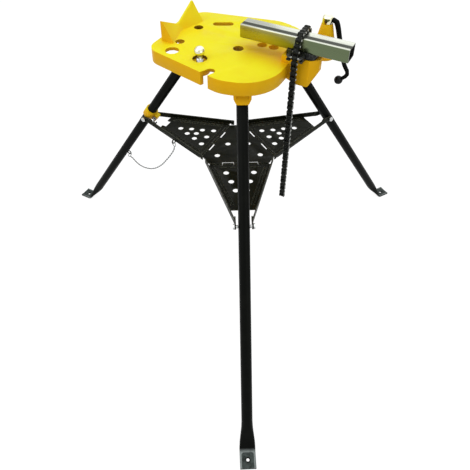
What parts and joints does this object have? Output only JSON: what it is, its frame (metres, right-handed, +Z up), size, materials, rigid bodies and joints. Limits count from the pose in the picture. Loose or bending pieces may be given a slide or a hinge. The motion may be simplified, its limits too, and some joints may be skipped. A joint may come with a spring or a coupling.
{
  "type": "tripod pipe vise stand",
  "caption": "Folding tripod stand with a chain pipe vise: yellow cast table with a pipe rest, crank and chain clamping a steel bar, black legs and a pierced folding tray.",
  "frame": {"origin": "on the floor, in the middle of the footprint of the three feet", "axes": "+Z up, +X from the rear leg and the pipe rest towards the vise nose"},
  "size_m": [1.0196, 1.1276, 0.8493],
  "materials": {
    "yellow_paint": "gloss enamel over a casting",
    "black_paint": "semi-gloss enamel",
    "dark_iron": "dark oiled steel",
    "bright_steel": "bright drawn",
    "chrome": "polished",
    "black_knob": "gloss"
  },
  "bodies": {
    "table": {"table_top": "yellow_paint", "vise_jaw": "dark_iron", "vise_chain_wrap": "dark_iron", "chain_carrier": "dark_iron", "leg_pin_front_right": "bright_steel", "leg_pin_front_left": "bright_steel", "leg_pin_rear": "bright_steel"},
    "bar": {"clamped_bar": "bright_steel"},
    "crank": {"crank_screw": "bright_steel", "crank_hub": "chrome", "crank_lever": "black_paint", "crank_ball": "black_knob"},
    "chain_tail_1": {"vise_chain_tail_1": "dark_iron"},
    "chain_tail_2": {"vise_chain_tail_2": "dark_iron"},
    "chain_tail_3": {"vise_chain_tail_3": "dark_iron"},
    "brace": {"brace_screw": "bright_steel"},
    "brace_tip": {"brace_head": "chrome"},
    "tray": {"tray_centre": "black_paint", "tray_hinge_pin_front_right": "bright_steel", "tray_hinge_pin_front_left": "bright_steel", "tray_hinge_pin_rear": "bright_steel"},
    "leg_front_right": {"leg_front_right": "black_paint"},
    "wing_front_right": {"tray_wing_front_right": "black_paint", "tray_bolt_front_right_a": "bright_steel", "tray_bolt_front_right_b": "bright_steel"},
    "leg_front_left": {"leg_front_left": "black_paint"},
    "wing_front_left": {"tray_wing_front_left": "black_paint", "tray_bolt_front_left_a": "bright_steel", "tray_bolt_front_left_b": "bright_steel"},
    "leg_rear": {"leg_rear": "black_paint", "rear_collar": "yellow_paint", "collar_bolt": "bright_steel", "collar_hook": "black_paint", "retainer_ring_leg": "bright_steel", "retainer_chain": "bright_steel"},
    "wing_rear": {"tray_wing_rear": "black_paint", "tray_bolt_rear_a": "bright_steel", "tray_bolt_rear_b": "bright_steel", "retainer_ring_wing": "bright_steel"}
  },
  "joints": [
    {"name": "fold_lift", "type": "slide", "parent": "table", "child": "tray", "axis": [0, 0, 1], "range_m": [0, 0.15706]},
    {"name": "bar_slide", "type": "slide", "parent": "table", "child": "bar", "axis": [1, 0, 0], "range_m": [-0.08, 0.08]},
    {"name": "crank_turn", "type": "hinge", "parent": "table", "child": "crank", "pos_m": [0.3197, 0.08845, 0.832], "axis": [0, 0, 1], "range_deg": [-45, 120]},
    {"name": "brace_rise", "type": "slide", "parent": "table", "child": "brace", "axis": [0, 0, 1], "range_m": [0, 0.02]},
    {"name": "brace_swivel", "type": "hinge", "parent": "brace", "child": "brace_tip", "pos_m": [0.0917, -0.09255, 0.785], "axis": [0, 0, 1], "continuous": true},
    {"name": "tail_swing_1", "type": "hinge", "parent": "table", "child": "chain_tail_1", "pos_m": [0.2947, -0.03388, 0.79524], "axis": [1, 0, 0], "range_deg": [-8, 5]},
    {"name": "tail_swing_2", "type": "hinge", "parent": "chain_tail_1", "child": "chain_tail_2", "pos_m": [0.2947, -0.03388, 0.66824], "axis": [1, 0, 0], "range_deg": [-6, 12]},
    {"name": "tail_swing_3", "type": "hinge", "parent": "chain_tail_2", "child": "chain_tail_3", "pos_m": [0.2947, -0.03388, 0.54124], "axis": [1, 0, 0], "range_deg": [-6, 12]},
    {"name": "leg_fold_front_right", "type": "hinge", "parent": "table", "child": "leg_front_right", "pos_m": [0.2047, -0.10414, 0.725], "axis": [0.866, 0.5, 0], "range_deg": [0, 22]},
    {"name": "wing_fold_front_right", "type": "hinge", "parent": "tray", "child": "wing_front_right", "pos_m": [0.1747, -0.05217, 0.46275], "axis": [0.866, 0.5, 0], "range_deg": [0, 59.83]},
    {"name": "leg_fold_front_left", "type": "hinge", "parent": "table", "child": "leg_front_left", "pos_m": [0.2105, 0.11747, 0.725], "axis": [-0.8387, 0.5446, 0], "range_deg": [0, 22]},
    {"name": "wing_fold_front_left", "type": "hinge", "parent": "tray", "child": "wing_front_left", "pos_m": [0.17783, 0.06716, 0.46275], "axis": [-0.8387, 0.5446, 0], "range_deg": [0, 59.83]},
    {"name": "leg_fold_rear", "type": "hinge", "parent": "table", "child": "leg_rear", "pos_m": [0.0097, 0.00845, 0.725], "axis": [0, -1, 0], "range_deg": [0, 22]},
    {"name": "wing_fold_rear", "type": "hinge", "parent": "tray", "child": "wing_rear", "pos_m": [0.0697, 0.00845, 0.46275], "axis": [0, -1, 0], "range_deg": [0, 59.83]}
  ],
  "couplings": [
    {"joint": "leg_fold_front_right", "follows": "fold_lift", "rad_per_m": 2.4447},
    {"joint": "wing_fold_front_right", "follows": "fold_lift", "rad_per_m": 6.6488},
    {"joint": "leg_fold_front_left", "follows": "fold_lift", "rad_per_m": 2.4447},
    {"joint": "wing_fold_front_left", "follows": "fold_lift", "rad_per_m": 6.6488},
    {"joint": "leg_fold_rear", "follows": "fold_lift", "rad_per_m": 2.4447},
    {"joint": "wing_fold_rear", "follows": "fold_lift", "rad_per_m": 6.6488}
  ]
}
